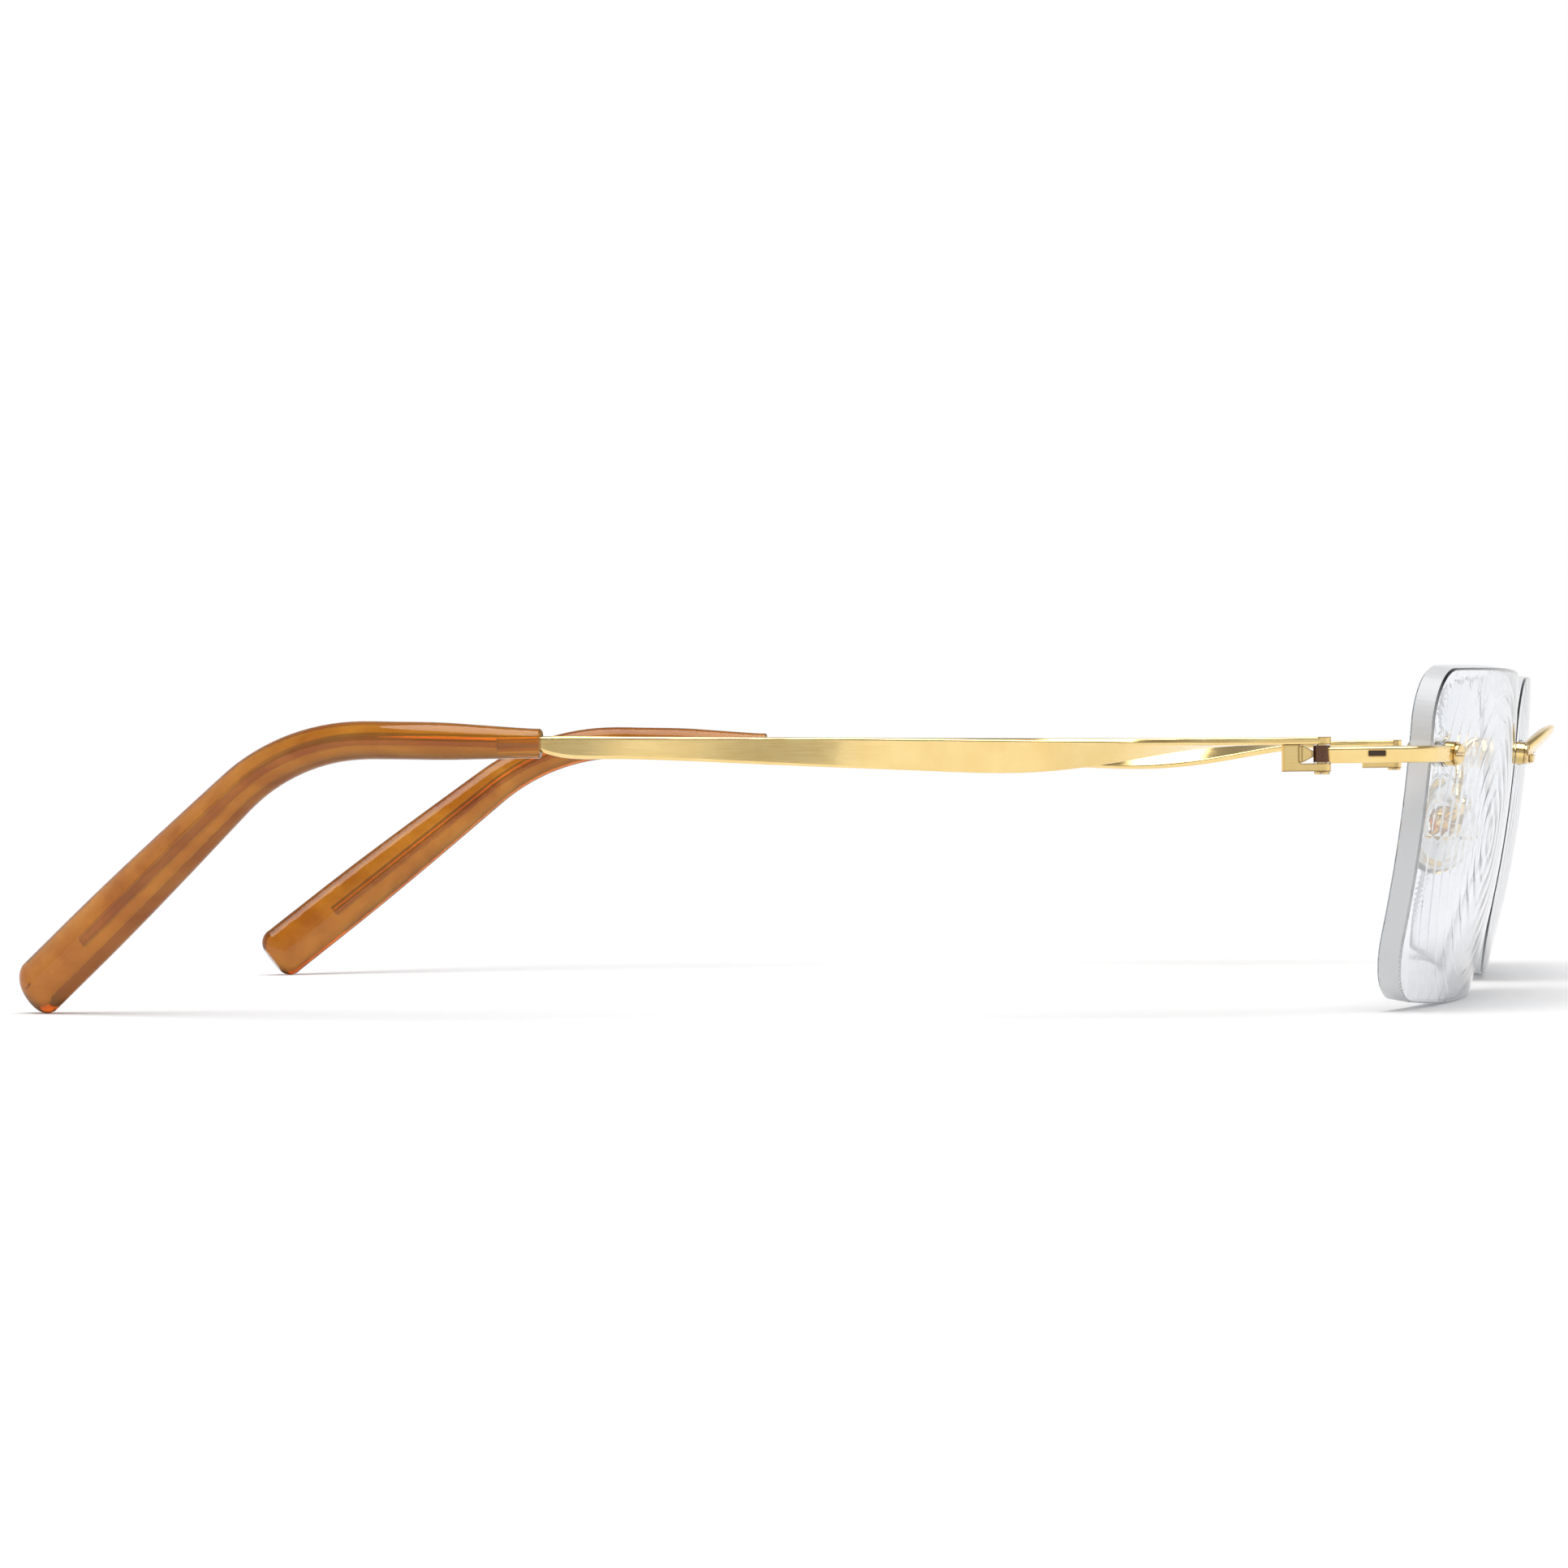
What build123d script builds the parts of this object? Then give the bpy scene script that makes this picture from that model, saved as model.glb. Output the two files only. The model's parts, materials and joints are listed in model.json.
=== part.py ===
"""Rimless eyeglasses: two drilled lenses, a bridge, two endpieces and two folding temples.

Frame, in millimetres: +X is the wearer's left, -Y is the way the wearer looks, +Z is up.
The glasses stand open on the lens bottoms and the temple tips, at Z = 0, and the origin is
under the middle of their box. Each side piece is made for the left and mirrored for the right.
"""

from build123d import *
import os
from math import cos, radians, sin, sqrt

os.makedirs("parts", exist_ok=True)

# Lenses
LENS_WIDTH = 54.5  # with upright sides; their slant takes off about 1.2
LENS_HEIGHT = 33.2
NOSE_GAP = 17.0  # between upright sides; the slant opens it to about 18
SLANT = (1.8, 1.0)  # how far the nasal and temporal bottom corners are drawn in
LENS_CORNERS = (7.0, 6.0, 7.0, 10.0)  # radii: top nasal, top temporal, then the bottom ones
LENS_THICK = 2.2
BASE_RADIUS = 120.0  # of the front surface
CROWN = 0.8  # how far each side of the outline bows out
TILT = 9.5  # the lens top stands forward of its bottom, in degrees
WRAP = 6.1  # the nasal side stands forward of the temporal side, in degrees
TEMPORAL_HOLE = 23.4  # sideways from the lens centre
NASAL_HOLE = -23.0
HOLE_UP = 8.02  # above the lens centre
PEG_STEP = 3.3  # from a hole out to its edge notch
LENS_BEVEL = 0.2
LENS_FORWARD = 14.85  # lens centre in front of the hinge axis

# Hinges
HINGE_X = 66.0
HINGE_Y = -55.99
LEAF_TOP = 26.15
LEAF_THICK = 0.7
BARREL_R = 0.8
BARREL_HEIGHT = 1.55
HINGE_BORE_R = 0.44
HINGE_SCREW_R = 0.4
WASHER_THICK = 0.09
WASHER_INSET = 0.02  # inside the barrel's outer face
GAP = 0.01  # between faces that slide on each other
LOWER_LEAF_THICK = 0.75
HINGE_HEAD = (0.75, 0.3)  # radius and height of the hinge screw's head
HINGE_HEAD_ROUND = 0.12
HINGE_SLOT = (0.18, 0.12)  # width and depth
HINGE_SCREW_SUNK = 0.05  # below the ribbon's top

BARREL_TOP = LEAF_TOP - LEAF_THICK - WASHER_THICK - 2 * GAP
BARREL_BOTTOM = BARREL_TOP - BARREL_HEIGHT
LOWER_LEAF_TOP = BARREL_BOTTOM - WASHER_THICK - 2 * GAP
LOWER_LEAF_BOTTOM = LOWER_LEAF_TOP - LOWER_LEAF_THICK
BAR_Z = (BARREL_TOP + BARREL_BOTTOM) / 2

# Endpiece bar
BAR_THICK = 1.0
BAR_BEND = 2.6
BAR_ROUND = 0.3  # radius along the bar's edges
PLATE_INNER = 2.2  # plate past the hole, towards the nose
INLAY = (1.6, 0.5, 0.25)  # length, height and depth
INLAY_FORWARD = 5.2

# Lens hardware
LENS_HOLE_R = 0.95
SHANK_R = 0.6
BUSHING_R = 0.93
PLATE_BORE_R = 0.63
PEG_R = 0.5
NOTCH_R = 0.62
PLATE_RIM = 0.15  # plate left outside a screw head
PEG_RIM = 0.1  # plate left outside an edge peg
PAD_WASHER = (1.35, 0.2)  # radius and thickness of the clear washers
SCREW_HEAD = (1.0, 0.45)  # radius and height
SCREW_HEAD_ROUND = 0.2
SCREW_SLOT = (0.25, 0.2)  # width and depth
NUT = (1.25, 1.1)  # radius over its corners and height
NUT_DOME = 0.3  # share of the nut's height
NUT_DOME_R = 1.0
NUT_DOME_TAPER = 30
NUT_BORE = 0.9  # share of the nut's height
MOUNT = -PAD_WASHER[1] - GAP  # depth of the plates' backs from the lens front
# Rings round each lens screw: depth of the front face, thickness, outer radius
RINGS = {
    "lens_bushings": (0.0, LENS_THICK, BUSHING_R),
    "front_washers": (-PAD_WASHER[1], PAD_WASHER[1], PAD_WASHER[0]),
    "back_washers": (LENS_THICK + GAP, PAD_WASHER[1], PAD_WASHER[0]),
}

# Bridge: x, forward of the hinge axis, z, long and short axes of its oval section
BRIDGE = [
    (10.2, 17.15, 24.75, 1.5, 1.0),
    (6.2, 18.2, 25.7, 2.7, 1.1),
    (0.0, 18.75, 26.25, 3.3, 1.2),
]
BRIDGE_LEAN = 37.0
PLATE_THICK = 0.9
PLATE_SLOT = (5.7, 2.3, 1.35)  # length, width, and how far its middle is from the hole

# The bridge tab that passes each lens's nasal edge: centre and size
TAB = (7.55, 15.9, 24.6)
TAB_SIZE = (0.9, 2.6, 1.3)

# Hinge block, behind the hinge axis
BLOCK_FRONT = 1.95
BLOCK_BACK = 3.7
BLOCK_WIDTH = 1.6
BLOCK_CHAMFER = 0.2
GROOVE = 0.3  # across the block's sides, between its body and its nose
NOSE_FLAT = 0.6  # height of the nose's flat tip
NOSE_FOOT = 0.15  # height of the nose's lower edge above the lower leaf
LEAF_INSET = 0.05  # the lower leaf's round end inside the ribbon's

# Temple ribbon: behind the hinge axis, width, thickness, twist from upright in degrees, and
# how far its top is above the top of the flat front end
RIBBON = [
    (3.0, 1.9, LEAF_THICK, 90, 0),
    (6.0, 2.2, LEAF_THICK, 90, 0),
    (13.0, 3.2, LEAF_THICK, 79, 0.1),
    (20.0, 3.6, LEAF_THICK, 57, 0.2),
    (28.0, 3.6, LEAF_THICK, 32, 0.3),
    (37.0, 3.15, 0.75, 12, 0.4),
    (46.0, 2.85, 0.8, 0, 0.5),
    (58.0, 2.4, 0.95, 0, 0.7),
    (68.5, 2.2, 1.1, 0, 0.9),
    (74.7, 1.4, 1.2, 0, 0.95),
]
RIBBON_ROUND = 0.3  # radius along its edges, as a share of its thickness
RIBBON_OUT = 0.9  # outer face, outside the hinge axis
TANG = 4.0  # the ribbon's end inside the sleeve

# Sleeve path, round its corners: behind the hinge axis, inward, z
SLEEVE = [
    (74.7, 0.0, 26.4),
    (87.0, 0.3, 26.85),
    (100.3, 4.1, 27.1),
    (129.6, 17.4, 2.85),
]
SLEEVE_BENDS = [28.0, 25.0]  # radii
SLEEVE_SECTIONS = 26
# Sleeve growth: from and to what share of its path, and by how much in height and thickness
SLEEVE_START = (2.9, 2.3)
SLEEVE_GROWTH = [(0.0, 0.17, 0.75, 0.5), (0.2, 0.9, 2.35, 0.6)]
SLEEVE_END = 2.0  # length of the rounded end
SLEEVE_END_STEPS = (0, 0.4, 0.7, 0.9)
SLEEVE_END_POWER = 2.6  # 2 would be an ellipse
SLEEVE_RIM = 0.15  # bevel round its open front end
CORE_START = 0.8  # share of the tang
CORE_R = 0.57
CORE_END = 124.2  # behind the hinge axis
BORE_R = 0.6

# Nose pads
PAD_CENTRE = (8.2, 7.6, 16.6)  # middle of the skin side: x, forward of the hinge axis, z
PAD_SPLAY = 28.0
PAD_LEAN = 20.0
PAD_LENGTH = 11.0
PAD_WIDTH = 6.4
PAD_THICK = 2.2
PAD_RISE = (-0.3, -0.17, 0.94)  # roughly the way the pad points up
PAD_ROUND = 0.9
INSERT = (3.6, 2.2, 0.5)  # length, width and thickness
LUG = (1.1, 0.8)  # along the pad and across it
PIVOT_BACK = 3.5  # pad screw axis behind the skin side
PAD_SCREW_R = 0.28
PAD_SCREW_HEAD = (0.504, 0.3)  # radius and height
PAD_BORE_R = 0.32
BOX_WALL = 0.4
BOX = (1.7, 1.8, 1.7)  # along the pad, across it, deep
BOX_ROUND = 0.25
BOX_SLACK = 0.1  # between the lug and the two cheeks together
BOX_FRONT = 0.55  # the box's mouth, in front of the pad screw
ARM_R = 0.4
# Pad arm waypoints: x, forward of the hinge axis, z
ARM = [(7.4, 12.9, 25.8), (8.6, 11.0, 24.8), (11.8, 10.4, 21.9), (13.2, 10.2, 19.9)]


def lens_plane():
    """The front surface's centre on the left lens: x to the temple, y up, z out of the front."""
    p, q = radians(TILT), radians(WRAP)
    sag = (LENS_HEIGHT / 2) ** 2 / (2 * BASE_RADIUS)
    half = LENS_WIDTH / 2
    edge_sag = half**2 / (2 * BASE_RADIUS)
    return Plane(
        origin=(
            NOSE_GAP / 2 + half * cos(q) + edge_sag * sin(q) * cos(p),
            HINGE_Y - LENS_FORWARD,
            LENS_HEIGHT / 2 * cos(p) - sag * sin(p),
        ),
        x_dir=(cos(q), sin(q), 0),
        z_dir=(sin(q) * cos(p), -cos(q) * cos(p), -sin(p)),
    )


LENS = lens_plane()


def seat(u, v, depth=0.0):
    """A plane on the lens at u, v, sunk below the front surface by depth, facing out of it."""
    out = Vector(u, v, sqrt(BASE_RADIUS**2 - u**2 - v**2)) / BASE_RADIUS
    spot = out * (BASE_RADIUS - depth) - Vector(0, 0, BASE_RADIUS)
    origin = LENS.from_local_coords(spot)
    z_dir = LENS.from_local_coords(spot + out) - origin
    return Plane(origin=origin, x_dir=Vector(0, 0, 1).cross(z_dir), z_dir=z_dir)


def save(solid, name):
    """Label a finished piece and write its STEP file."""
    solid.label = name
    export_step(solid, f"parts/{name}.step")


def save_pair(solid, name):
    """Write the left piece and its mirror image for the right side."""
    save(solid, f"{name}_left")
    with BuildPart() as twin:
        mirror(solid, about=Plane.YZ)
    save(twin.part, f"{name}_right")


def save_both(solid, name):
    """Write the left piece and its mirror image together, as one node."""
    with BuildPart() as pair:
        add(solid)
        mirror(solid, about=Plane.YZ)
    save(pair.part, name)


def make_lens():
    """The left lens: a curved shell cut to its outline, with two holes and two edge notches."""
    half, side, rise = LENS_WIDTH / 2, LENS_WIDTH / 2 - CROWN, LENS_HEIGHT / 2 - CROWN
    nasal, temporal = SLANT
    corners = [(-side, rise), (side, rise), (side - temporal, -rise), (nasal - side, -rise)]
    with BuildPart() as lens:
        with BuildSketch(LENS.offset(-3 * LENS_THICK)) as outline:
            with BuildLine():
                for start, end in zip(corners, corners[1:] + corners[:1]):
                    SagittaArc(start, end, CROWN)
            make_face()
            for corner, radius in zip(corners, LENS_CORNERS):
                fillet(outline.vertices().sort_by_distance(corner)[0], radius)
        extrude(amount=4 * LENS_THICK)
        with Locations(LENS.offset(-BASE_RADIUS)):
            Sphere(BASE_RADIUS, mode=Mode.INTERSECT)
            Sphere(BASE_RADIUS - LENS_THICK, mode=Mode.SUBTRACT)
        chamfer(lens.edges().filter_by(lambda edge: edge.length > 2 * LENS_THICK), LENS_BEVEL)
        for hole, out in ((TEMPORAL_HOLE, 1), (NASAL_HOLE, -1)):
            with Locations(seat(hole, HOLE_UP)):
                Cylinder(LENS_HOLE_R, 3 * LENS_THICK, mode=Mode.SUBTRACT)
            with Locations(seat(hole, HOLE_UP)):
                with Locations((out * PEG_STEP, 0)):
                    Cylinder(NOTCH_R, 3 * LENS_THICK, mode=Mode.SUBTRACT)
    return lens.part


def make_bridge():
    """A leaf-shaped arch in front of the nose, on two plates in front of the lenses."""
    stations = [(-x, *rest) for x, *rest in BRIDGE[:-1]] + BRIDGE[::-1]
    with BuildPart() as bridge:
        for x, forward, z, long_axis, short_axis in stations:
            across = Plane(
                origin=(x, HINGE_Y - forward, z),
                x_dir=(0, -cos(radians(BRIDGE_LEAN)), sin(radians(BRIDGE_LEAN))),
                z_dir=(1, 0, 0),
            )
            with BuildSketch(across):
                Ellipse(long_axis / 2, short_axis / 2)
        loft()
        with BuildSketch(seat(NASAL_HOLE, HOLE_UP, MOUNT)):
            with Locations((-PLATE_SLOT[2], 0)):
                SlotOverall(PLATE_SLOT[0], PLATE_SLOT[1])
        left_plate = extrude(amount=PLATE_THICK)
        with BuildSketch(seat(NASAL_HOLE, HOLE_UP, MOUNT)):
            with Locations((-PEG_STEP, 0)):
                Circle(PEG_R)
        left_peg = extrude(amount=-LENS_THICK)
        with Locations((TAB[0], HINGE_Y - TAB[1], TAB[2])):
            left_tab = Box(*TAB_SIZE)
        mirror([left_plate, left_peg, left_tab], about=Plane.YZ)
        with Locations(seat(NASAL_HOLE, HOLE_UP)):
            left_hole = Cylinder(PLATE_BORE_R, 4 * PLATE_THICK, mode=Mode.SUBTRACT)
        mirror(left_hole, about=Plane.YZ, mode=Mode.SUBTRACT)
    return bridge.part


def make_endpiece():
    """The bar from the lens front, around its temporal edge and straight back to the hinge."""
    mount = seat(TEMPORAL_HOLE, HOLE_UP, MOUNT - BAR_THICK / 2)
    inner = mount.from_local_coords((-PLATE_INNER, 0, 0))
    run = (HINGE_X - mount.origin.X) / mount.x_dir.X
    corner = mount.from_local_coords((run, 0, 0))
    barrel = Vector(HINGE_X, HINGE_Y, corner.Z)
    with BuildPart() as endpiece:
        with BuildLine():
            FilletPolyline(inner, corner, barrel, radius=BAR_BEND)
        with BuildSketch(Plane(origin=inner, x_dir=mount.z_dir, z_dir=mount.x_dir)):
            RectangleRounded(BAR_THICK, BARREL_HEIGHT, BAR_ROUND)
        sweep()
        with BuildSketch(seat(TEMPORAL_HOLE, HOLE_UP, MOUNT)):
            Circle(SCREW_HEAD[0] + PLATE_RIM)
            with Locations((PEG_STEP, 0)):
                Circle(PEG_R + PEG_RIM)
        extrude(amount=BAR_THICK)
        with BuildSketch(seat(TEMPORAL_HOLE, HOLE_UP, MOUNT)):
            with Locations((PEG_STEP, 0)):
                Circle(PEG_R)
        extrude(amount=-LENS_THICK)
        with Locations(seat(TEMPORAL_HOLE, HOLE_UP)):
            Cylinder(PLATE_BORE_R, 4 * BAR_THICK, mode=Mode.SUBTRACT)
        with Locations((HINGE_X, HINGE_Y, BAR_Z)):
            Cylinder(BARREL_R, 2 * BARREL_HEIGHT, mode=Mode.SUBTRACT)
        with Locations((HINGE_X + BAR_THICK / 2, HINGE_Y - INLAY_FORWARD, BAR_Z)):
            Box(2 * INLAY[2], INLAY[0], INLAY[1], mode=Mode.SUBTRACT)
    return endpiece.part


def make_inlay():
    """The dark line let into the outer face of the endpiece bar."""
    with BuildPart() as inlay:
        with Locations((HINGE_X + BAR_THICK / 2 - INLAY[2] / 2, HINGE_Y - INLAY_FORWARD, BAR_Z)):
            Box(INLAY[2], INLAY[0], INLAY[1])
    return inlay.part


def make_barrel():
    """The dark hinge barrel on the back end of the endpiece bar."""
    with BuildPart() as barrel:
        with Locations((HINGE_X, HINGE_Y, BAR_Z)):
            Cylinder(BARREL_R, BARREL_HEIGHT)
            Cylinder(HINGE_BORE_R, BARREL_HEIGHT, mode=Mode.SUBTRACT)
    return barrel.part


def make_lens_screw(hole):
    """A round slotted head in front of the plate, and a shank through to the back of the nut."""
    plate = BAR_THICK if hole > 0 else PLATE_THICK
    head = seat(hole, HOLE_UP, MOUNT - GAP - plate)
    with BuildPart() as screw:
        with BuildSketch(head):
            Circle(SCREW_HEAD[0])
        extrude(amount=SCREW_HEAD[1])
        fillet(screw.faces().sort_by(Axis(head.origin, head.z_dir))[-1].edges(), SCREW_HEAD_ROUND)
        with BuildSketch(head):
            Circle(SHANK_R)
        extrude(amount=-(plate + LENS_THICK + 2 * PAD_WASHER[1] + NUT_BORE * NUT[1]))
        with Locations(head.offset(SCREW_HEAD[1])):
            Box(2 * SCREW_HEAD[0], SCREW_SLOT[0], 2 * SCREW_SLOT[1], mode=Mode.SUBTRACT)
    return screw.part


def make_ring(hole, depth, thick, radius):
    """A ring around a lens screw: its front face lies at depth behind the lens front."""
    with BuildPart() as ring:
        with BuildSketch(seat(hole, HOLE_UP, depth)):
            Circle(radius)
            Circle(SHANK_R + GAP, mode=Mode.SUBTRACT)
        extrude(amount=-thick)
    return ring.part


def make_nut(hole):
    """A domed nut behind the lens, with a blind bore for the shank."""
    base = seat(hole, HOLE_UP, LENS_THICK + PAD_WASHER[1] + 3 * GAP)
    with BuildPart() as nut:
        with BuildSketch(base):
            RegularPolygon(NUT[0], 6)
        extrude(amount=(NUT_DOME - 1) * NUT[1])
        with BuildSketch(base.offset((NUT_DOME - 1) * NUT[1])):
            Circle(NUT_DOME_R)
        extrude(amount=-NUT_DOME * NUT[1], taper=NUT_DOME_TAPER)
        with Locations(base):
            Cylinder(SHANK_R + GAP, 2 * NUT_BORE * NUT[1], mode=Mode.SUBTRACT)
    return nut.part


def both_holes(make, *sizes):
    """The same ring or nut at the temporal and the nasal hole."""
    with BuildPart() as pair:
        add(make(TEMPORAL_HOLE, *sizes))
        add(make(NASAL_HOLE, *sizes))
    return pair.part


def ribbon_plane(behind, width, thick, twist, rise):
    """A cross-section of the ribbon, held by its top and its outer face, x along its width."""
    turn = radians(twist)
    wide = (width * sin(turn) + thick * cos(turn)) / 2
    high = (width * cos(turn) + thick * sin(turn)) / 2
    return Plane(
        origin=(HINGE_X + RIBBON_OUT - wide, HINGE_Y + behind, LEAF_TOP + rise - high),
        x_dir=(sin(turn), 0, cos(turn)),
        z_dir=(0, 1, 0),
    )


def sleeve_plane(share):
    """A cross-section of the sleeve, x along its height and y across it."""
    along = SLEEVE_LINE.tangent_at(share)
    return Plane(
        origin=SLEEVE_LINE.position_at(share),
        x_dir=along.cross(Vector(0, 0, 1)).cross(along),
        z_dir=along,
    )


def make_temple():
    """The twisted ribbon, its flat front end bored for the hinge screw, its tang and core wire."""
    with BuildPart() as temple:
        for behind, width, thick, twist, rise in RIBBON:
            with BuildSketch(ribbon_plane(behind, width, thick, twist, rise)):
                RectangleRounded(width, thick, RIBBON_ROUND * thick)
        loft()
        with BuildSketch(ribbon_plane(*RIBBON[0])):
            RectangleRounded(RIBBON[0][1], LEAF_THICK, RIBBON_ROUND * LEAF_THICK)
        extrude(amount=-RIBBON[0][0])
        with BuildSketch(Plane.XY.offset(LEAF_TOP - LEAF_THICK)):
            with Locations((HINGE_X, HINGE_Y)):
                Circle(RIBBON_OUT)
        extrude(amount=LEAF_THICK)
        with Locations((HINGE_X, HINGE_Y, LEAF_TOP)):
            Cylinder(HINGE_SCREW_R + GAP, 3 * LEAF_THICK, mode=Mode.SUBTRACT)
        with BuildSketch(ribbon_plane(*RIBBON[-1])):
            RectangleRounded(width, thick, RIBBON_ROUND * thick)
        extrude(amount=TANG)
        with BuildSketch(Plane(origin=CORE_LINE @ 0, z_dir=CORE_LINE % 0)):
            Circle(CORE_R)
        sweep(path=CORE_LINE)
    return temple.part


def sleeve_size(share):
    """Height and thickness of the sleeve at a share of its path."""
    height, thick = SLEEVE_START
    for begin, end, taller, thicker in SLEEVE_GROWTH:
        done = min(max((share - begin) / (end - begin), 0), 1)
        smooth = done * done * (3 - 2 * done)
        height += taller * smooth
        thick += thicker * smooth
    return height, thick


def make_sleeve():
    """The sleeve over the tang and the core wire: an oval that grows towards its rounded end."""
    _, width, ribbon_thick, _, _ = RIBBON[-1]
    with BuildPart() as sleeve:
        for index in range(SLEEVE_SECTIONS + 1):
            height, thick = sleeve_size(index / SLEEVE_SECTIONS)
            with BuildSketch(sleeve_plane(index / SLEEVE_SECTIONS)):
                Ellipse(height / 2, thick / 2)
        loft()
        for step in SLEEVE_END_STEPS:
            shrink = (1 - step**SLEEVE_END_POWER) ** (1 / SLEEVE_END_POWER)
            with BuildSketch(sleeve_plane(1).offset(step * SLEEVE_END)):
                Ellipse(shrink * height / 2, shrink * thick / 2)
        loft()
        height, thick = SLEEVE_START
        for bevel in (0, SLEEVE_RIM):
            with BuildSketch(sleeve_plane(0).offset(-bevel)):
                Ellipse(height / 2 - bevel, thick / 2 - bevel)
        loft(ruled=True)
        with BuildSketch(ribbon_plane(*RIBBON[-1]).offset(-1)):
            RectangleRounded(width + 2 * GAP, ribbon_thick + 2 * GAP, RIBBON_ROUND * ribbon_thick)
        extrude(amount=TANG + 1 + 2 * GAP, mode=Mode.SUBTRACT)
        with BuildSketch(Plane(origin=CORE_LINE @ 0, z_dir=CORE_LINE % 0)):
            Circle(BORE_R)
        sweep(path=CORE_LINE, mode=Mode.SUBTRACT)
    return sleeve.part


def make_hinge_block():
    """The block under the ribbon, its lower leaf and the nose that stops the barrel."""
    with BuildPart() as block:
        with BuildSketch(Plane.XY.offset(LOWER_LEAF_BOTTOM)):
            with Locations((HINGE_X, HINGE_Y)):
                Circle(RIBBON_OUT - LEAF_INSET)
            with Locations((HINGE_X, HINGE_Y + BLOCK_BACK / 2)):
                Rectangle(BLOCK_WIDTH, BLOCK_BACK)
        extrude(amount=LOWER_LEAF_THICK)
        with BuildSketch(Plane.XY.offset(LOWER_LEAF_TOP)):
            with Locations((HINGE_X, HINGE_Y + (BLOCK_FRONT + BLOCK_BACK) / 2)):
                Rectangle(BLOCK_WIDTH, BLOCK_BACK - BLOCK_FRONT)
        extrude(amount=LEAF_TOP - LEAF_THICK - LOWER_LEAF_TOP)
        chamfer(block.edges().filter_by(Axis.Z).group_by(Axis.Y)[-1], BLOCK_CHAMFER)
        nose_back = HINGE_Y + BLOCK_FRONT
        nose_tip = HINGE_Y + BARREL_R + 3 * GAP
        with BuildSketch(Plane.YZ.offset(HINGE_X - BLOCK_WIDTH / 2)):
            with BuildLine():
                Polyline(
                    (nose_back + GROOVE, LOWER_LEAF_TOP),
                    (nose_back - GROOVE, LOWER_LEAF_TOP + NOSE_FOOT),
                    (nose_tip, BAR_Z - NOSE_FLAT / 2),
                    (nose_tip, BAR_Z + NOSE_FLAT / 2),
                    (nose_back - GROOVE, BARREL_TOP),
                    (nose_back + GROOVE, BARREL_TOP),
                    close=True,
                )
            make_face()
        extrude(amount=BLOCK_WIDTH)
        for side in (-1, 1):
            with Locations((HINGE_X + side * BLOCK_WIDTH / 2, nose_back, BAR_Z)):
                Box(GROOVE, GROOVE, BARREL_HEIGHT, mode=Mode.SUBTRACT)
        with Locations((HINGE_X, HINGE_Y, LOWER_LEAF_BOTTOM)):
            Cylinder(HINGE_SCREW_R + GAP, 2 * LOWER_LEAF_THICK, mode=Mode.SUBTRACT)
    return block.part


def make_hinge_screw():
    """The hinge pin: its slotted head is under the lower leaf and its thread in the ribbon."""
    with BuildPart() as screw:
        with BuildSketch(Plane.XY.offset(LOWER_LEAF_BOTTOM - GAP)):
            with Locations((HINGE_X, HINGE_Y)):
                Circle(HINGE_HEAD[0])
        extrude(amount=-HINGE_HEAD[1])
        fillet(screw.faces().sort_by(Axis.Z)[0].edges(), HINGE_HEAD_ROUND)
        with BuildSketch(Plane.XY.offset(LOWER_LEAF_BOTTOM - GAP)):
            with Locations((HINGE_X, HINGE_Y)):
                Circle(HINGE_SCREW_R)
        extrude(amount=LEAF_TOP - LOWER_LEAF_BOTTOM + GAP - HINGE_SCREW_SUNK)
        with Locations((HINGE_X, HINGE_Y, LOWER_LEAF_BOTTOM - GAP - HINGE_HEAD[1])):
            Box(2 * BARREL_R, HINGE_SLOT[0], 2 * HINGE_SLOT[1], mode=Mode.SUBTRACT)
    return screw.part


def make_hinge_washers():
    """Thin nylon washers above and below the barrel."""
    with BuildPart() as washers:
        for bottom in (LOWER_LEAF_TOP + GAP, BARREL_TOP + GAP):
            with BuildSketch(Plane.XY.offset(bottom)):
                with Locations((HINGE_X, HINGE_Y)):
                    Circle(BARREL_R - WASHER_INSET)
                    Circle(HINGE_SCREW_R + GAP, mode=Mode.SUBTRACT)
            extrude(amount=WASHER_THICK)
    return washers.part


def pad_plane():
    """The middle of the left pad's skin side: x up along the pad, z towards the nose."""
    splay, lean = radians(PAD_SPLAY), radians(PAD_LEAN)
    z_dir = Vector(-cos(splay) * cos(lean), sin(splay) * cos(lean), -sin(lean))
    rise = Vector(*PAD_RISE)
    x, forward, z = PAD_CENTRE
    return Plane(
        origin=(x, HINGE_Y - forward, z), x_dir=rise - z_dir * rise.dot(z_dir), z_dir=z_dir
    )


def make_pad():
    """The soft pad: an oval with rounded rims, hollow where the insert sits."""
    with BuildPart() as pad:
        with BuildSketch(PAD.offset(-PAD_THICK)):
            Ellipse(PAD_LENGTH / 2, PAD_WIDTH / 2)
        extrude(amount=PAD_THICK)
        fillet(pad.edges(), PAD_ROUND)
        with BuildSketch(PAD.offset(-PAD_THICK)):
            Ellipse(INSERT[0] / 2, INSERT[1] / 2)
        extrude(amount=INSERT[2], mode=Mode.SUBTRACT)
    return pad.part


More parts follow.
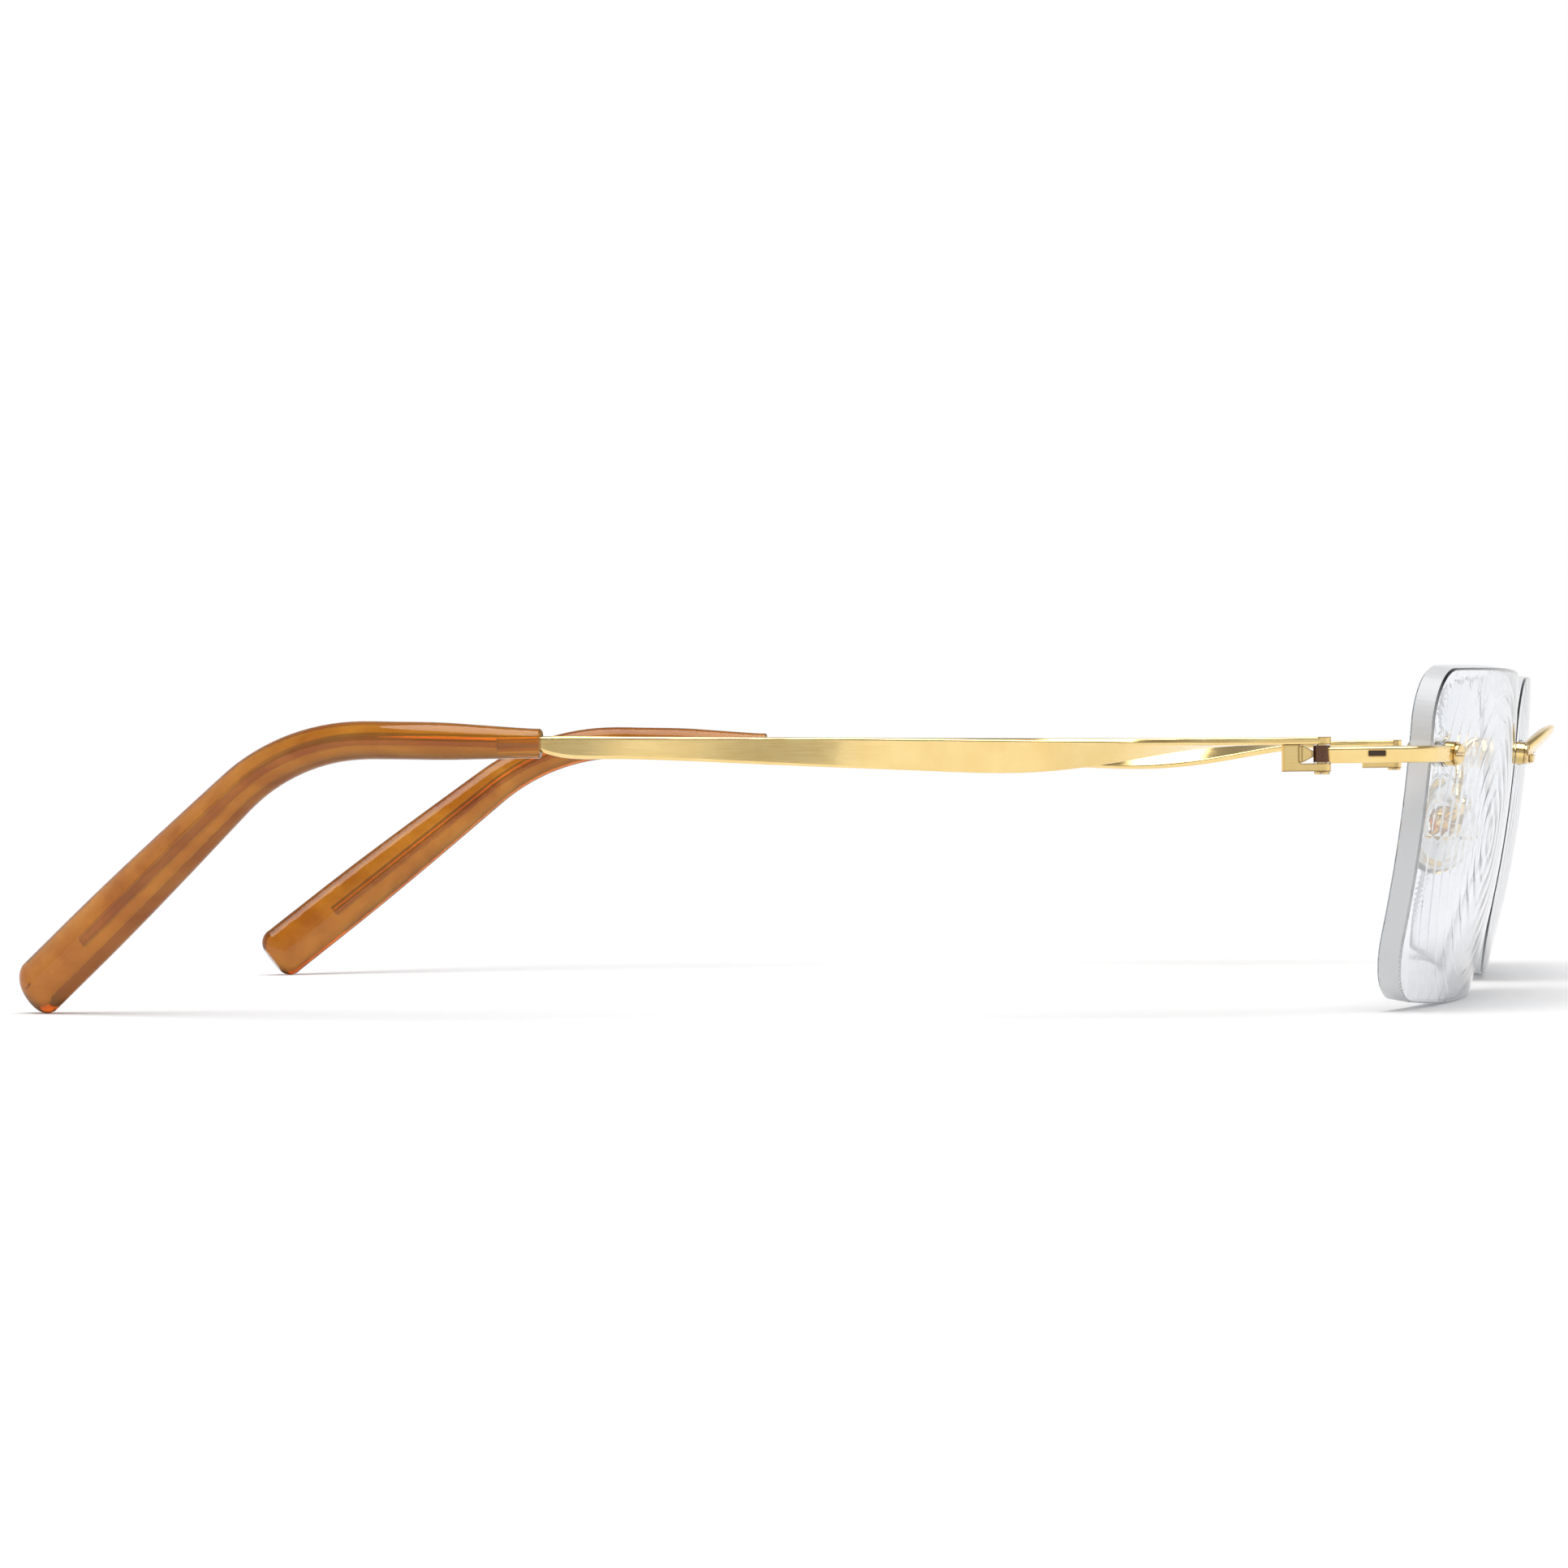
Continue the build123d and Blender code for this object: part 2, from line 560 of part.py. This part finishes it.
def make_insert():
    """The metal plate in the pad's back, and the lug that turns on the pad screw."""
    pivot = PAD.offset(-PIVOT_BACK)
    with BuildPart() as insert:
        with BuildSketch(PAD.offset(-PAD_THICK)):
            Ellipse(INSERT[0] / 2, INSERT[1] / 2)
        extrude(amount=INSERT[2])
        side_on = Plane(origin=pivot.origin, x_dir=pivot.x_dir, z_dir=pivot.y_dir)
        with BuildSketch(side_on.offset(-LUG[1] / 2)):
            Circle(LUG[0] / 2)
            with Locations((0, -(PIVOT_BACK - PAD_THICK) / 2)):
                Rectangle(LUG[0], PIVOT_BACK - PAD_THICK)
            Circle(PAD_BORE_R, mode=Mode.SUBTRACT)
        extrude(amount=LUG[1])
    return insert.part


def make_pad_box():
    """A clevis on the arm's end: two cheeks and a back, bored for the pad screw."""
    pivot = PAD.offset(-PIVOT_BACK)
    along, across, deep = BOX
    with BuildPart() as box:
        with BuildSketch(pivot.offset(-deep + BOX_FRONT)):
            RectangleRounded(along, across, BOX_ROUND)
        extrude(amount=deep)
        with BuildSketch(pivot.offset(-deep + BOX_FRONT + BOX_WALL)):
            Rectangle(2 * along, LUG[1] + BOX_SLACK)
        extrude(amount=deep, mode=Mode.SUBTRACT)
        with Locations(Plane(origin=pivot.origin, z_dir=pivot.y_dir)):
            Cylinder(PAD_SCREW_R + GAP, 2 * across, mode=Mode.SUBTRACT)
    return box.part


def make_pad_screw():
    """The screw through the pad box and the lug."""
    pivot = PAD.offset(-PIVOT_BACK)
    head = Plane(origin=pivot.origin, z_dir=pivot.y_dir).offset(BOX[1] / 2 + GAP)
    with BuildPart() as screw:
        with BuildSketch(head):
            Circle(PAD_SCREW_HEAD[0])
        extrude(amount=PAD_SCREW_HEAD[1])
        with BuildSketch(head):
            Circle(PAD_SCREW_R)
        extrude(amount=-BOX[1] - 2 * GAP)
    return screw.part


def make_pad_arm():
    """A wire from the back of the bridge's tab, out in a loop and down to the pad box."""
    foot = PAD.offset(-PIVOT_BACK - BOX[2] + BOX_FRONT)
    tab_back = (TAB[0], HINGE_Y - TAB[1] + TAB_SIZE[1] / 2, TAB[2])
    waypoints = [(x, HINGE_Y - forward, z) for x, forward, z in ARM]
    line = Spline([tab_back, *waypoints, foot.origin], tangents=[(0, 1, 0.2), foot.z_dir])
    with BuildPart() as arm:
        with BuildSketch(Plane(origin=line @ 0, z_dir=line % 0)):
            Circle(ARM_R)
        sweep(path=line)
    return arm.part


def sleeve_points():
    """The corners of the sleeve's path."""
    middle = HINGE_X + RIBBON_OUT - RIBBON[-1][2] / 2
    return [Vector(middle - inward, HINGE_Y + behind, z) for behind, inward, z in SLEEVE]


def core_line():
    """The core wire's path: from inside the tang, round the first bends and part of the drop."""
    first, second, third, fourth = sleeve_points()
    start = first + (second - first).normalized() * CORE_START * TANG
    drop = fourth - third
    end = third + drop * ((HINGE_Y + CORE_END - third.Y) / drop.Y)
    return FilletPolyline(start, second, third, end, radius=SLEEVE_BENDS)


SLEEVE_LINE = FilletPolyline(*sleeve_points(), radius=SLEEVE_BENDS)
CORE_LINE = core_line()
PAD = pad_plane()

save_pair(make_lens(), "lens")
save(make_bridge(), "bridge")
save_pair(make_endpiece(), "endpiece")
save_pair(make_inlay(), "endpiece_inlay")
save_pair(make_barrel(), "hinge_barrel")
save_both(make_lens_screw(TEMPORAL_HOLE), "endpiece_screws")
save_both(make_lens_screw(NASAL_HOLE), "bridge_screws")
for ring, sizes in RINGS.items():
    save_both(both_holes(make_ring, *sizes), ring)
save_both(both_holes(make_nut), "lens_nuts")
save_pair(make_pad_arm(), "pad_arm")
save_pair(make_pad_box(), "pad_box")
save_pair(make_pad_screw(), "pad_screw")
save_pair(make_pad(), "nose_pad")
save_pair(make_insert(), "pad_insert")
save_pair(make_temple(), "temple")
save_pair(make_hinge_block(), "hinge_block")
save_pair(make_hinge_screw(), "hinge_screw")
save_pair(make_hinge_washers(), "hinge_washers")
save_pair(make_sleeve(), "temple_sleeve")
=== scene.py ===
import json
from math import cos, pi, radians, sin

import bpy
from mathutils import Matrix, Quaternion, Vector


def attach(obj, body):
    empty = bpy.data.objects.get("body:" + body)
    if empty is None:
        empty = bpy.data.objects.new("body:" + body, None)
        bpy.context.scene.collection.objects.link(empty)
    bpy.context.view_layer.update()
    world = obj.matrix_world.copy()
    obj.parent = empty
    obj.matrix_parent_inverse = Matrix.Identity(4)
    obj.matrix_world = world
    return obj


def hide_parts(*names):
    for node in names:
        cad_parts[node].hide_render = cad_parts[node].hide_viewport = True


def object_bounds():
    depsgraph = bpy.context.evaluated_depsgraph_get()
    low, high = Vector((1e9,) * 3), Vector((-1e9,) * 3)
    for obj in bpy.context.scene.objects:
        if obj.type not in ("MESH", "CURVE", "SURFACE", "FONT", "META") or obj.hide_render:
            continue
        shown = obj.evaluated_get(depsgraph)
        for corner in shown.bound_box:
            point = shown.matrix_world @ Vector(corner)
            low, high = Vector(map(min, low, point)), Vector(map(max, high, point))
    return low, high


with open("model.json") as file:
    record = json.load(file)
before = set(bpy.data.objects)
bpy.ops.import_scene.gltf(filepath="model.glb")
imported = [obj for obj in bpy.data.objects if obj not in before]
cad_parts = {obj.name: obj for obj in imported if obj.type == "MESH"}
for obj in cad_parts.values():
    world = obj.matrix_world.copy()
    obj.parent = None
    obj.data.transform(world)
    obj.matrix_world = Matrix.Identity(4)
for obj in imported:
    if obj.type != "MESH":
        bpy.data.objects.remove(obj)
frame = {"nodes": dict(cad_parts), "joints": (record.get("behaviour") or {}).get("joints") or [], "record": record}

CAD_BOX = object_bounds()
MM = 0.001
SIDES = ("left", "right")
JOINTS = {joint["name"]: joint for joint in frame["joints"]}

# Camera: beside the wearer's right hinge, turned a little towards the front, and almost level
VIEW_TURN = radians(9.2)
VIEW_DISTANCE = 0.520
HINGE_ASIDE = 0.0504  # how far the hinge is to the right of the view's axis
CAMERA_HEIGHT = 0.0243
LENS_LENGTH = 127.4
VIEW_SHIFT = -0.0135
VIEW_ROLL = -0.0115

# Stage and light
TABLE_HALF = 6.0
TABLE_GAP = 0.02 * MM  # between the table and the lowest point of the glasses
SUN_FROM = (-0.25, 0.05, 1)
SUN_SPREAD = 55
SUN_POWER = 2.45
SKY_LOW, SKY_HIGH = 0.12, 0.75  # heights between which the sky darkens
SKY_TURN = (-0.9, 0.1)  # sideways range in which it darkens towards the wearer's right
SKY_DARKEST = 0.5
BOUNCES = 32  # so that light can run on inside a lens


# ---------------------------------------------------------------- node helpers


class Nodes:
    """A short way to write a material's nodes."""

    def __init__(self, name):
        self.material = bpy.data.materials.new(name)
        self.material.use_nodes = True
        self.tree = self.material.node_tree
        self.tree.nodes.clear()
        self.output = self.tree.nodes.new("ShaderNodeOutputMaterial")

    def add(self, kind, settings=None, **inputs):
        node = self.tree.nodes.new(f"ShaderNode{kind}")
        for key, value in (settings or {}).items():
            setattr(node, key, value)
        for key, value in inputs.items():
            self.put(node.inputs[key.replace("_", " ")], value)
        return node

    def put(self, socket, value):
        if isinstance(value, bpy.types.NodeSocket):
            self.tree.links.new(value, socket)
        else:
            socket.default_value = value

    def principled(self, **inputs):
        shader = self.add("BsdfPrincipled", **inputs)
        self.tree.links.new(shader.outputs["BSDF"], self.output.inputs["Surface"])
        return shader

    def noise(self, scale, detail=2.0, stretch=(1, 1, 1)):
        """Noise in the object's own coordinates, stretched along an axis by a small share."""
        place = self.add("TexCoord").outputs["Object"]
        mapping = self.add("Mapping", Vector=place, Scale=stretch)
        noise = self.add("TexNoise", Vector=mapping.outputs["Vector"], Scale=scale, Detail=detail)
        return noise.outputs["Fac"]

    def span(self, value, low, high, start=0.0, end=1.0):
        """A value taken from the range start to end to the range low to high."""
        node = self.add("MapRange", Value=value, From_Min=start, From_Max=end, To_Min=low, To_Max=high)
        return node.outputs["Result"]

    def blend(self, share, first, second):
        node = self.add("Mix", {"data_type": "RGBA"})
        self.put(node.inputs[0], share)
        self.put(node.inputs[6], first)
        self.put(node.inputs[7], second)
        return node.outputs[2]

    def bump(self, height, depth):
        return self.add("Bump", Strength=1.0, Distance=depth, Height=height).outputs["Normal"]

    def edges(self, radius):
        """1 along the outer edges of a piece, fading to 0 within the radius."""
        rounded = self.add("Bevel", {"samples": 8}, Radius=radius).outputs["Normal"]
        flat = self.add("NewGeometry").outputs["Normal"]
        along = self.add("VectorMath", {"operation": "DOT_PRODUCT"})
        self.put(along.inputs[0], rounded)
        self.put(along.inputs[1], flat)
        return self.span(along.outputs["Value"], 1.0, 0.0, 0.80, 0.99)


def colour(red, green, blue):
    return (red, green, blue, 1.0)


def scaled(tint, shares):
    return [channel * share for channel, share in zip(tint, shares)]


# ------------------------------------------------------------------- materials

GOLD_EDGE_SHADE = 0.3 * MM  # width of the painted shade line along each edge


def make_gold(name, tint, edge_shade, polish):
    """Polished gold plate: fine lengthwise polishing lines, and painted shade: a darker line along each edge."""
    n = Nodes(name)
    lines = n.noise(9000, 3, (1, 0.03, 1))
    patches = n.noise(350, 3)
    duller = scaled(tint, (0.95, 0.91, 0.84, 1))
    body = n.blend(n.span(patches, 0.0, 1.0, 0.35, 0.7), tint, duller)
    # the base colour turns dark along each edge: painted shade standing in for the dark reflections of curved
    # edges
    n.principled(
        Base_Color=n.blend(n.edges(GOLD_EDGE_SHADE), body, edge_shade),
        Metallic=1.0,
        Roughness=n.span(lines, polish, polish + 0.1, 0.3, 0.7),
        Normal=n.bump(lines, 0.0006 * MM),
    )
    return n.material


def make_painted_shade(name, tint, polish):
    """Dark brown painted shade, standing in for shade in a gap, slightly mottled."""
    n = Nodes(name)
    grain = n.noise(5000, 4)
    paler_mottle = scaled(tint, (1.6, 1.5, 1.3, 1))
    n.principled(
        Base_Color=n.blend(n.span(grain, 0.0, 1.0, 0.3, 0.7), tint, paler_mottle),
        Metallic=0.6,
        Roughness=n.span(grain, polish, polish + 0.15),
        Coat_Weight=0.3,
        Normal=n.bump(grain, 0.001 * MM),
    )
    return n.material


def make_clear(name, tints, rough, ior, density, wave):
    """A clear plastic: a smooth skin with a slow waviness, and a tint that builds up with depth."""
    skin_tint, depth_tint = tints
    n = Nodes(name)
    swell = n.noise(220, 2)
    n.principled(
        Base_Color=skin_tint,
        Transmission_Weight=1.0,
        Roughness=rough,
        IOR=ior,
        Normal=n.bump(swell, wave * MM),
    )
    depth = n.add("VolumeAbsorption", Color=depth_tint, Density=density)
    n.tree.links.new(depth.outputs["Volume"], n.output.inputs["Volume"])
    return n.material


def make_lens():
    """Clear lens plastic, flat shaded, with polished faces and a finely ground edge."""
    n = Nodes("lens")
    flat = n.add("NewGeometry").outputs["True Normal"]
    facing = n.add("SeparateXYZ", Vector=flat).outputs["Y"]
    turned = n.add("Math", {"operation": "ABSOLUTE"}, Value=facing).outputs["Value"]
    face = n.span(turned, 0.0, 1.0, 0.45, 0.65)
    n.principled(
        Base_Color=n.blend(face, colour(0.93, 0.94, 0.955), colour(0.89, 0.905, 0.93)),
        Transmission_Weight=n.span(face, 0.3, 1.0),
        Roughness=n.span(face, 0.30, 0.0),
        IOR=1.5,
        Normal=flat,
    )
    depth = n.add("VolumeAbsorption", Color=colour(0.2, 0.35, 0.5), Density=10.0)
    n.tree.links.new(depth.outputs["Volume"], n.output.inputs["Volume"])
    return n.material


def make_amber():
    """Translucent amber plastic: cloudy lengthwise streaks under a polished skin."""
    n = Nodes("amber_sleeve")
    streaks = n.noise(520, 3, (1.0, 0.08, 0.5))
    skin = n.noise(2500, 3)
    light, dark = colour(0.84, 0.44, 0.05), colour(0.56, 0.22, 0.012)
    cloud = n.blend(n.span(streaks, 0.0, 1.0, 0.35, 0.65), light, dark)
    n.principled(
        Base_Color=cloud,
        Transmission_Weight=0.80,
        Roughness=n.span(skin, 0.03, 0.09, 0.3, 0.7),
        IOR=1.49,
        Specular_IOR_Level=0.35,
        Normal=n.bump(skin, 0.0008 * MM),
    )
    depth = n.add("VolumeAbsorption", Color=colour(0.78, 0.47, 0.03), Density=520.0)
    n.tree.links.new(depth.outputs["Volume"], n.output.inputs["Volume"])
    return n.material


def paint_nodes():
    """Give each CAD node the material of its slot."""
    # the third colour of each gold is the painted shade along its edges
    gold = make_gold("gold", colour(0.95, 0.72, 0.32), colour(0.28, 0.14, 0.03), 0.12)
    turned = make_gold("screw", colour(0.88, 0.68, 0.34), colour(0.22, 0.11, 0.03), 0.18)
    nylon_tints = colour(0.96, 0.97, 0.97), colour(0.5, 0.55, 0.6)
    nylon = make_clear("clear_nylon", nylon_tints, 0.12, 1.5, 60.0, 0.002)
    silicone_tints = colour(0.97, 0.97, 0.96), colour(0.62, 0.58, 0.52)
    silicone = make_clear("silicone", silicone_tints, 0.10, 1.41, 90.0, 0.01)
    painted = {
        "gold": gold,
        "screw": turned,
        # the hinge knuckle and the inlay are painted near black as painted shade: the knuckle for the shade in the
        # gap between the hinge plates, the inlay for the dark hinge gap that would show through a slot there
        "dark_barrel": make_painted_shade("dark_barrel", colour(0.10, 0.045, 0.025), 0.25),
        "dark_inlay": make_painted_shade("dark_inlay", colour(0.05, 0.03, 0.02), 0.12),
        "lens": make_lens(),
        "clear_nylon": nylon,
        "silicone": silicone,
        "amber_sleeve": make_amber(),
    }
    slots = {part["node"]: part["material_slot"] for part in frame["record"]["subparts"]}
    for name, node in frame["nodes"].items():
        node.data.materials.clear()
        node.data.materials.append(painted[slots[name]])
    return painted


# ------------------------------------------------------------------- nose pads

PAD_LENGTH = 11.0
PAD_WIDTH = 6.4
PAD_THICK = 2.2
INSERT_LENGTH = 3.66
INSERT_WIDTH = 2.26
INSERT_DEPTH = 0.52
PAD_AROUND = 96
PAD_TAPER = 0.10  # share by which the top is narrower than the middle
PAD_CROWN = 0.55  # how far the skin falls away towards the rim
PAD_ROLL = 0.15  # share of the pad's half width that rolls over
PAD_ROLL_DROP = 0.15  # the roll's middle, below the middle of the pad's thickness
PAD_ROLL_TRIM = 0.25  # the roll's half height, less than half the pad's thickness


def pad_axes(side):
    """The pad's middle, and its directions along, across and out to the skin."""
    joint = JOINTS[f"nose_pad_rock_{side}"]
    pivot, across = Vector(joint["pos_m"]), Vector(joint["axis"])
    points = [v.co for v in frame["nodes"][f"nose_pad_{side}"].data.vertices]
    middle = sum(points, Vector()) / len(points)
    out = (middle - pivot).normalized()
    along = across.cross(out)
    if along.z < 0:
        along = -along
    return middle, along.normalized(), across.normalized(), out


def pad_outline(turn, share):
    """A point of the pad's outline, scaled by share: an egg with its narrow end up."""
    taper = 1.0 - PAD_TAPER * sin(turn)
    return share * PAD_LENGTH / 2 * sin(turn), share * PAD_WIDTH / 2 * cos(turn) * taper


def pad_rings():
    """The pad's section, from the middle of the skin round to the hollow: (share, height)."""
    rings = [(s, -PAD_CROWN * s**3) for s in (0.12, 0.3, 0.5, 0.66, 0.78)]
    for step in range(9):
        angle = pi / 2 - pi * step / 8
        share = 1 - PAD_ROLL + PAD_ROLL * cos(angle)
        middle, reach = -PAD_THICK / 2 - PAD_ROLL_DROP, PAD_THICK / 2 - PAD_ROLL_TRIM
        rings.append((share, middle + reach * sin(angle)))
    rings += [(0.78, -PAD_THICK + 0.02), (0.66, -PAD_THICK)]
    return rings


def build(name, points, faces):
    mesh = bpy.data.meshes.new(name)
    mesh.from_pydata(points, [], faces)
    mesh.update()
    mesh.shade_smooth()
    piece = bpy.data.objects.new(name, mesh)
    bpy.context.scene.collection.objects.link(piece)
    return piece


def loft_rings(rings):
    """Points and faces of closed rings of equal count, capped at both ends."""
    count = len(rings[0])
    points = [p for ring in rings for p in ring]
    faces = []
    for row in range(len(rings) - 1):
        for i in range(count):
            j = (i + 1) % count
            faces.append((row * count + i, row * count + j, (row + 1) * count + j, (row + 1) * count + i))
    for row in (0, len(rings) - 1):
        points.append(sum(rings[row], Vector()) / count)
        tip = len(points) - 1
        for i in range(count):
            pair = (row * count + i, row * count + (i + 1) % count)
            faces.append((*pair[::-1], tip) if row == 0 else (*pair, tip))
    return points, faces


def make_nose_pad(side, material):
    """A clear silicone pad, crowned on the skin side, with a hollow behind for the metal insert."""
    middle, along, across, out = pad_axes(side)
    skin = middle + out * PAD_THICK / 2 * MM

    def place(x, y, height):
        return skin + (along * x + across * y + out * height) * MM

    turns = [2 * pi * i / PAD_AROUND for i in range(PAD_AROUND)]
    rings = []
    for share, height in pad_rings():
        rings.append([place(*pad_outline(turn, share), height) for turn in turns])
    for grow, height in ((1.14, -PAD_THICK), (1.0, -PAD_THICK + 0.06), (1.0, -PAD_THICK + INSERT_DEPTH)):
        half_long, half_wide = grow * INSERT_LENGTH / 2, grow * INSERT_WIDTH / 2
        rings.append([place(half_long * sin(turn), half_wide * cos(turn), height) for turn in turns])
    piece = build(f"silicone_pad_{side}", *loft_rings(rings))
    turn_faces_out(piece)
    smooth = piece.modifiers.new("smooth", "SUBSURF")
    smooth.levels = smooth.render_levels = 1
    piece.data.materials.append(material)
    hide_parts(f"nose_pad_{side}")
    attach(piece, f"nose_pad_{side}")


def turn_faces_out(piece):
    """Flip the faces of a closed mesh whose volume counts as negative."""
    volume = 0.0
    points = piece.data.vertices
    for face in piece.data.polygons:
        a, b, c = (points[i].co for i in face.vertices[:3])
        volume += a.dot(b.cross(c))
        if len(face.vertices) == 4:
            d = points[face.vertices[3]].co
            volume += a.dot(c.cross(d))
    if volume < 0:
        piece.data.flip_normals()


# ----------------------------------------------------------------------- stage


def make_stage():
    """A wide white table under the glasses."""
    n = Nodes("table")
    n.principled(Base_Color=colour(0.93, 0.93, 0.93), Roughness=1.0, Specular_IOR_Level=0.0)
    floor = build("table", *table_mesh())
    floor.data.materials.append(n.material)


def table_mesh():
    """One square face just under the glasses."""
    level = CAD_BOX[0].z - TABLE_GAP
    corners = ((-1, -1), (1, -1), (1, 1), (-1, 1))
    return [(x * TABLE_HALF, y * TABLE_HALF, level) for x, y in corners], [(0, 1, 2, 3)]


def make_sun(name, place, spread, power):
    """A soft light from one direction, spread over a wide angle."""
    data = bpy.data.lights.new(name, "SUN")
    data.angle = radians(spread)
    data.energy = power
    sun = bpy.data.objects.new(name, data)
    sun.rotation_mode = "QUATERNION"
    sun.rotation_quaternion = (-Vector(place)).to_track_quat("-Z", "Y")
    bpy.context.scene.collection.objects.link(sun)


def make_world():
    """A white sky that darkens towards the top and, by half, towards the wearer's right."""
    world = bpy.data.worlds.new("studio")
    world.use_nodes = True
    bpy.context.scene.world = world
    tree = world.node_tree
    tree.nodes.clear()
    output = tree.nodes.new("ShaderNodeOutputWorld")
    light = tree.nodes.new("ShaderNodeBackground")
    tree.links.new(light.outputs["Background"], output.inputs["Surface"])
    place = tree.nodes.new("ShaderNodeTexCoord")
    split = tree.nodes.new("ShaderNodeSeparateXYZ")
    tree.links.new(place.outputs["Generated"], split.inputs["Vector"])
    ramp = tree.nodes.new("ShaderNodeValToRGB")
    tree.links.new(split.outputs["Z"], ramp.inputs["Fac"])
    ramp.color_ramp.interpolation = "EASE"
    ramp.color_ramp.elements[0].position = SKY_LOW
    ramp.color_ramp.elements[0].color = colour(1.0, 1.0, 1.0)
    ramp.color_ramp.elements[1].position = SKY_HIGH
    ramp.color_ramp.elements[1].color = colour(0.30, 0.30, 0.31)
    tree.links.new(ramp.outputs["Color"], light.inputs["Color"])
    side = tree.nodes.new("ShaderNodeMapRange")
    tree.links.new(split.outputs["X"], side.inputs["Value"])
    side.inputs["From Min"].default_value = SKY_TURN[0]
    side.inputs["From Max"].default_value = SKY_TURN[1]
    side.inputs["To Min"].default_value = SKY_DARKEST
    side.inputs["To Max"].default_value = 1.0
    tree.links.new(side.outputs["Result"], light.inputs["Strength"])


def make_lights():
    make_world()
    make_sun("overhead", SUN_FROM, SUN_SPREAD, SUN_POWER)


def make_camera():
    hinge = Vector(JOINTS["temple_fold_right"]["pos_m"])
    ahead = Vector((cos(VIEW_TURN), sin(VIEW_TURN), 0))
    aside = Vector((sin(VIEW_TURN), -cos(VIEW_TURN), 0))
    data = bpy.data.cameras.new("camera")
    data.lens = LENS_LENGTH
    data.sensor_width = 36.0
    data.shift_y = VIEW_SHIFT
    data.clip_start = 0.01
    data.clip_end = 30.0
    camera = bpy.data.objects.new("camera", data)
    place = hinge - HINGE_ASIDE * aside - VIEW_DISTANCE * ahead
    camera.location = (place.x, place.y, CAMERA_HEIGHT)
    camera.rotation_mode = "QUATERNION"
    camera.rotation_quaternion = ahead.to_track_quat("-Z", "Y") @ Quaternion((0, 0, 1), VIEW_ROLL)
    bpy.context.scene.collection.objects.link(camera)
    bpy.context.scene.camera = camera


painted = paint_nodes()
for side in SIDES:
    make_nose_pad(side, painted["silicone"])
make_stage()
make_lights()
make_camera()
bpy.context.scene.cycles.max_bounces = BOUNCES
bpy.context.scene.cycles.transmission_bounces = BOUNCES
bpy.context.scene.view_settings.view_transform = "Standard"
